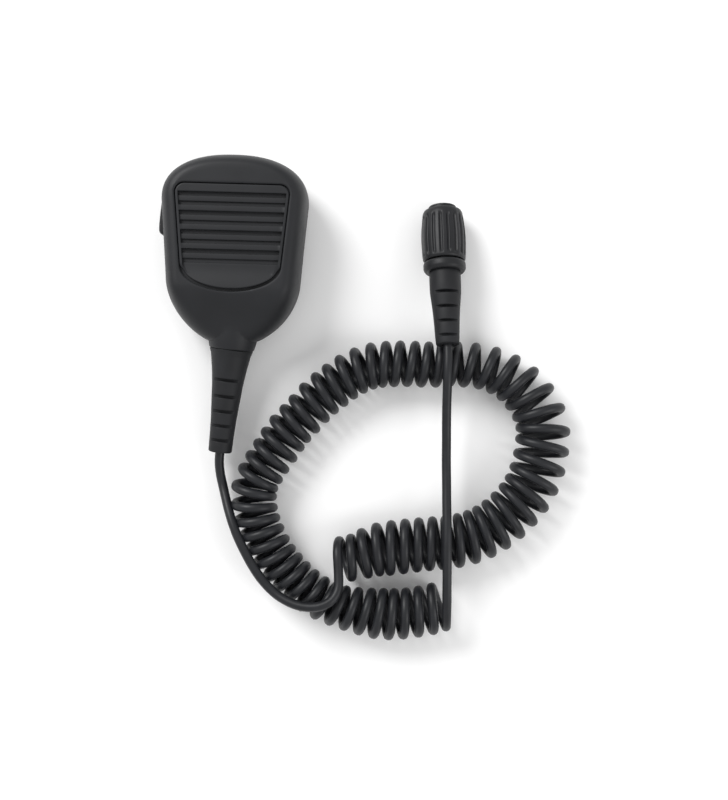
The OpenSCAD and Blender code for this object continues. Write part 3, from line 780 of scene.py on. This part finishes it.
back_rings = [
    *[edge_ring(-1, WALL, a) for a in reversed(rim_angles(90, 8))],
    flat_ring(WALL, PARTING - 0.05), flat_ring(0.55, PARTING - 0.05),
    flat_ring(0.3, PARTING - 0.1), flat_ring(0.1, PARTING - 0.26), flat_ring(0.0, PARTING - SEAM),
    *[edge_ring(-1, 0.0, a) for a in rim_angles(90, EDGE_STEPS)],
]
back_shell = ringed("back_shell_moulding", back_rings)
back_neck = neck("back_neck")
carve(back_neck, [block("upper_half", (-30, -80, PARTING - 0.05), (30, -30, 40))])
carve(back_shell, [back_neck], "UNION")
for x, y in SCREWS:
    base = 6.5 if y > 0 else 1.5
    carve(back_shell, [rod("boss", (x, y, base), (x, y, PARTING - 0.3), 4.2)], "UNION")
    carve(back_shell, [rod("well", (x, y, -1), (x, y, SCREW_SEAT), 2.6)])
    carve(back_shell, [rod("hole", (x, y, 5), (x, y, 16), 1.3)])
carve(back_shell, [block("window", *PADDLE_WINDOW), neck_bore()])
back_plastic = grained_plastic("back_plastic", (0.013, 0.0136, 0.0152), 0.00045, 0.5)
fitted(back_shell, "handset", "back_plastic", back_plastic, "back_shell")


# ---------------------------------------------------------------------------------------------
# Hang-up stud. A nickel-plated steel button, screwed on through the back shell. It hangs the
# microphone in a clip.
def plated_steel(name, colour=(0.62, 0.62, 0.63), rough=0.26):
    """Nickel-plated turned steel: faint tool rings, tiny scuffs."""
    finish = Finish(name)
    scuffs = finish.step(finish.noise(0.0015, 5), 0.55, 0.8)
    streaks = finish.add("ShaderNodeMapping", None, {"Vector": finish.place, "Scale": (9, 9, 0.6)})["Vector"]
    lines = finish.noise(0.0016, 4, streaks)
    finish.shader(
        Base_Color=finish.blend(scuffs, colour, lighter(colour, 0.72)),
        Metallic=1.0, Roughness=rough + 0.16 * scuffs + 0.1 * lines,
        Normal=finish.bump(lines, 0.00001, 0.5))
    return finish


steel = plated_steel("steel")
stud = lathe("hang_up_button", [
    (0, 0, 0), (6.5, 0, 0.5), (6.5, 2.2, 0.5), (3.4, 2.2, 0.3), (3.4, 4.3, 0.3), (5.2, 4.4, 0.3),
    (5.2, 5, 0), (0, 5, 0)], (0, 0, 0), (0, 0, 1))
fitted(stud, "handset", "steel", steel, "hang_up_stud")


# ---------------------------------------------------------------------------------------------
# Talk paddle. A satin plastic bar hinged on a steel pin at its upper end. It fills the window
# in the left side, and its lower end stands a little proud of the housing.
PADDLE_HALF_HEIGHT = 5.95
paddle_outline = [
    (-25.3, 12.1), (-29.2, 12.35), (-29.9, 10.8), (-30.3, 8.6), (-30.55, 6), (-30.8, 3.5),
    (-31.05, 1), (-31.25, -1.5), (-31.4, -3.6), (-31.45, -5.4), (-31.4, -7), (-30.95, -8.2),
    (-30.1, -8.55), (-27.3, -8.55), (-27.3, 7.6), (-25.3, 8.2),
]
bottom_ring = [(x, y, PARTING - PADDLE_HALF_HEIGHT) for x, y in paddle_outline]
top_ring = [(x, y, PARTING + PADDLE_HALF_HEIGHT) for x, y in paddle_outline]
n = len(paddle_outline)
paddle = new_mesh(
    "talk_paddle_bar", bottom_ring + top_ring,
    [tuple(range(n)), tuple(range(2 * n - 1, n - 1, -1))]
    + [(i, i + n, (i + 1) % n + n, (i + 1) % n) for i in range(n)])
rounding = paddle.modifiers.new("rounding", "BEVEL")
rounding.width = 0.8 * MM
rounding.segments = 4
rounding.limit_method = "ANGLE"
rounding.angle_limit = math.radians(35)
applied(paddle)
hinge = Vector([j for j in frame["joints"] if j["name"] == "ptt_press"][0]["pos_m"]) / MM
carve(paddle, [rod("pin_hole", hinge - Vector((0, 0, 12)), hinge + Vector((0, 0, 12)), 0.85, 32)])
paddle_plastic = grained_plastic("paddle_plastic", (0.0125, 0.013, 0.0145), 0.00025, 0.36)
fitted(paddle, "talk_paddle", "paddle_plastic", paddle_plastic, "ptt_paddle")


# ---------------------------------------------------------------------------------------------
# Strain reliefs. Soft black rubber, moulded over the cord: a long taper with slots across its
# top and its underside, which let it bend.
SLOT_CUT, BOOT_SLOT = 0.64, 1.2


def soft_rubber(name, colour=(0.0105, 0.011, 0.0125)):
    finish = Finish(name)
    bloom = finish.step(finish.noise(0.009, 4), 0.4, 0.75)
    grain = finish.noise(0.0004, 3)
    finish.shader(
        Base_Color=finish.blend(bloom, colour, lighter(colour, 1.5)),
        Roughness=0.5 + 0.14 * bloom + 0.1 * grain,
        Normal=finish.bump(grain + 0.6 * finish.noise(0.0018), 0.00004, 0.6),
        Specular_IOR_Level=PLASTIC_GLOSS)
    return finish


def slotted_sleeve(name, root, taper, slots, bore, origin, direction):
    """A rubber sleeve: root and taper are its profile, slots are (distance, radius there)."""
    end_r, end_s = taper[-1]

    def radius_at(s):
        for (r0, s0), (r1, s1) in zip(taper, taper[1:]):
            if s0 <= s <= s1:
                return r0 + (r1 - r0) * (s - s0) / (s1 - s0)
        return end_r

    stations = {s for _, s in taper}
    for middle, _ in slots:
        stations = {s for s in stations if abs(s - middle) > BOOT_SLOT / 2 + 0.4}
        for side in (-1, 1):
            stations |= {middle + side * (BOOT_SLOT / 2 + d) for d in (-0.04, 0.0, 0.08, 0.2, 0.35)}

    def cut(r, s, a):
        """Cuts a flat-bottomed slot into the sleeve's top and underside."""
        for middle, around in slots:
            past = abs(s - middle) - BOOT_SLOT / 2
            if past < 0.36 and r > SLOT_CUT * around:
                floor = SLOT_CUT * around / max(abs(math.sin(a)), 1e-3)
                drawn = 1.0 if past < -0.02 else 0.12 * max(0.0, 1 - past / 0.35) ** 3
                return r - drawn * max(0.0, r - floor)
        return r

    skin = [(radius_at(s), s, 0) for s in sorted(stations)]
    skin[-1] = (end_r, end_s, 0.7)
    profile = [*root, *skin, (bore + 0.25, end_s, 0.25), (bore, end_s - 0.6, 0), (bore, end_s - 4, 0),
               (0, end_s - 4, 0), (0, root[0][1], 0)]
    return lathe(name, profile, origin, direction, 120, cut)


relief_rubber = soft_rubber("relief_rubber")
handset_relief = slotted_sleeve(
    "handset_relief",
    [(8.1, -4.2, 0.2), (8.1, -3.4, 0.2), (7.05, -3.35, 0), (7.05, 5.5, 0)],
    [(8.95, 5.5), (9.12, 5.75), (8.95, 6.4), (8.55, 7.5), (8.3, 8.6), (8.08, 10), (7.85, 11.4),
     (7.6, 12.9), (7.35, 14.5), (7.1, 16.2), (6.9, 18), (6.65, 20), (6.45, 22.4), (6.2, 26),
     (5.95, 29), (5.75, 32), (5.5, 35), (5.35, 38), (5.2, 41), (5.1, 45), (5, 48.2), (4.95, 49.6)],
    [(18.4, 6.9), (25.4, 6.2), (31.8, 5.7), (38, 5.3), (44.2, 5.1)], 2.03, *relief_place)
fitted(handset_relief, "handset", "relief_rubber", relief_rubber, "handset_strain_relief")

plug_place = (plug_tip / MM, plug_dir)
plug_relief = slotted_sleeve(
    "plug_relief",
    [(4.9, 29.25, 0), (6.3, 29.25, 0.1)],
    [(6.55, 29.3), (6.65, 29.6), (6.68, 33), (6.66, 36), (6.6, 38.2), (6.3, 41), (6.05, 43.4),
     (5.8, 45.8), (5.6, 48.6), (5.4, 51.6), (5.25, 54.6), (5.1, 57.6), (4.95, 59.6), (4.85, 60.8)],
    [(39, 6.6), (45.3, 5.8), (51.4, 5.4), (57.5, 5.1)], 2.03, *plug_place)
fitted(plug_relief, "handset", "relief_rubber", relief_rubber, "plug_strain_relief")


# ---------------------------------------------------------------------------------------------
# Plug. A moulded black barrel with a rear flange, and round it a coupling ring that turns to
# lock the plug. The ring is barrel-shaped, and eighteen ribs give the fingers a grip.
plug_body = lathe("plug_barrel", [
    (5.3, 0.9, 0.2), (5.35, 0.0, 0.2), (5.95, 0.1, 0.4), (6.1, 1.2, 0.3), (6.1, 4.7, 0.1), (5.75, 4.75, 0),
    (5.75, 5.85, 0), (6.1, 5.9, 0.1), (6.1, 7.8, 0.1), (6.6, 8.3, 0.1), (6.6, 25, 0.0), (8.6, 25, 0.3),
    (9.0, 25.7, 0.4), (9.0, 28, 0.7), (8.1, 29.2, 0.4), (4.85, 29.2, 0), (4.85, 17.2, 0), (5.3, 17.2, 0)],
    *plug_place, 128)
plug_plastic = grained_plastic("plug_plastic", (0.012, 0.0125, 0.014), 0.0003, 0.4)
fitted(plug_body, "handset", "plug_plastic", plug_plastic, "plug_shell")

RIBS, RIB_FROM, RIB_TO, RIB_DEPTH = 18, 5.4, 22.2, 0.7


def grip(r, s, a):
    """Draws the ring's skin in between its ribs."""
    if r < 8.0 or not RIB_FROM - 1 < s < RIB_TO + 1:
        return r
    wave = 0.5 + 0.5 * math.cos(a * RIBS)
    ends = eased((s - RIB_FROM + 1) / 1.8) * eased((RIB_TO + 1 - s) / 1.8)
    return r - RIB_DEPTH * eased((wave - 0.42) / 0.5) * ends


ring_skin = [(8.5, 3.2), (8.62, 4.1), (8.7, 4.6), (8.78, 5.2), (8.86, 5.8), (8.95, 6.6), (9.1, 8),
             (9.3, 10), (9.42, 12), (9.48, 14.2), (9.45, 16.4), (9.38, 18.4), (9.3, 20.2),
             (9.25, 21), (9.2, 21.6), (9.16, 22.2), (9.1, 22.8)]
coupling_ring = lathe("coupling_sleeve", [
    (7.3, 2.1, 0.2), (7.95, 2.05, 0.4), *[(r, s, 0) for r, s in ring_skin], (9.02, 23.6, 0.4),
    (8.5, 24.35, 0.3), (6.67, 24.35, 0.1), (6.67, 16.9, 0), (7.3, 16.9, 0)],
    *plug_place, RIBS * 16, grip, 45.0)
# The ring's edges and ribs are lightened more: partly wear, partly a painted highlight.
ring_plastic = grained_plastic("ring_plastic", (0.0135, 0.014, 0.0158), 0.0003, 0.38, 0.8)
fitted(coupling_ring, "coupling_ring", "ring_plastic", ring_plastic, "coupling_ring")


# ---------------------------------------------------------------------------------------------
# Pieces that keep their CAD shape: screws, board, capsule, switch and the other inner parts,
# each with the finish of its own material.
def plain_moulding(name, colour, rough=0.45):
    """Unpainted moulded plastic or rubber of an inner part."""
    finish = Finish(name)
    mottle = finish.step(finish.noise(0.003, 3), 0.3, 0.75)
    finish.shader(
        Base_Color=finish.blend(mottle, lighter(colour, 0.85), lighter(colour, 1.12)),
        Roughness=rough + 0.12 * mottle,
        Normal=finish.bump(finish.noise(0.0005, 2), 0.00003, 0.4))
    return finish


def solder_mask():
    """Green lacquer over copper tracks, which stand out a little."""
    finish = Finish("board_green")
    tracks = finish.add("ShaderNodeTexBrick", {"offset": 0.37}, {
        "Vector": finish.place, "Scale": 260.0, "Mortar Size": 0.012, "Color1": (0, 0, 0, 1),
        "Color2": (0, 0, 0, 1), "Mortar": (1, 1, 1, 1)})["Fac"]
    finish.shader(
        Base_Color=finish.blend(tracks, (0.02, 0.12, 0.06), (0.05, 0.24, 0.12)),
        Roughness=0.25 + 0.1 * tracks, Normal=finish.bump(tracks, 0.00003, 0.6))
    return finish


THREAD_SCALE = 900.0


def woven_mesh():
    """Fine black nylon cloth behind the slots."""
    finish = Finish("screen_cloth")

    def threads_along(way):
        sockets = {"Vector": finish.place, "Scale": THREAD_SCALE}
        return finish.add("ShaderNodeTexWave", {"bands_direction": way}, sockets)["Fac"]

    threads = threads_along("X") * threads_along("Y")
    finish.shader(
        Base_Color=finish.blend(threads, (0.004, 0.004, 0.005), (0.02, 0.02, 0.022)),
        Roughness=0.8, Normal=finish.bump(threads, 0.00008, 0.8))
    return finish


inner_finishes = {
    "steel": steel,
    "cord_jacket": jacket,
    "plug_plastic": plug_plastic,
    "black_rubber": soft_rubber("black_rubber", (0.010, 0.010, 0.011)),
    "inner_plastic": plain_moulding("inner_plastic", (0.08, 0.08, 0.09)),
    "insert_plastic": plain_moulding("insert_plastic", (0.02, 0.02, 0.022), 0.35),
    "component_black": plain_moulding("component_black", (0.02, 0.02, 0.022)),
    "connector_ivory": plain_moulding("connector_ivory", (0.6, 0.56, 0.45), 0.4),
    "wire_red": plain_moulding("wire_red", (0.35, 0.02, 0.02), 0.3),
    "capsule_can": plated_steel("capsule_can", (0.72, 0.73, 0.74), 0.3),
    "contact_gold": plated_steel("contact_gold", (0.83, 0.62, 0.25), 0.2),
    "board_green": solder_mask(),
    "screen_cloth": woven_mesh(),
}
slot_of = {s["node"]: s["material_slot"] for s in frame["record"]["subparts"]}
for name, node in frame["nodes"].items():
    if not node.hide_render:
        node.data.materials.clear()
        node.data.materials.append(inner_finishes[slot_of[name]].material)
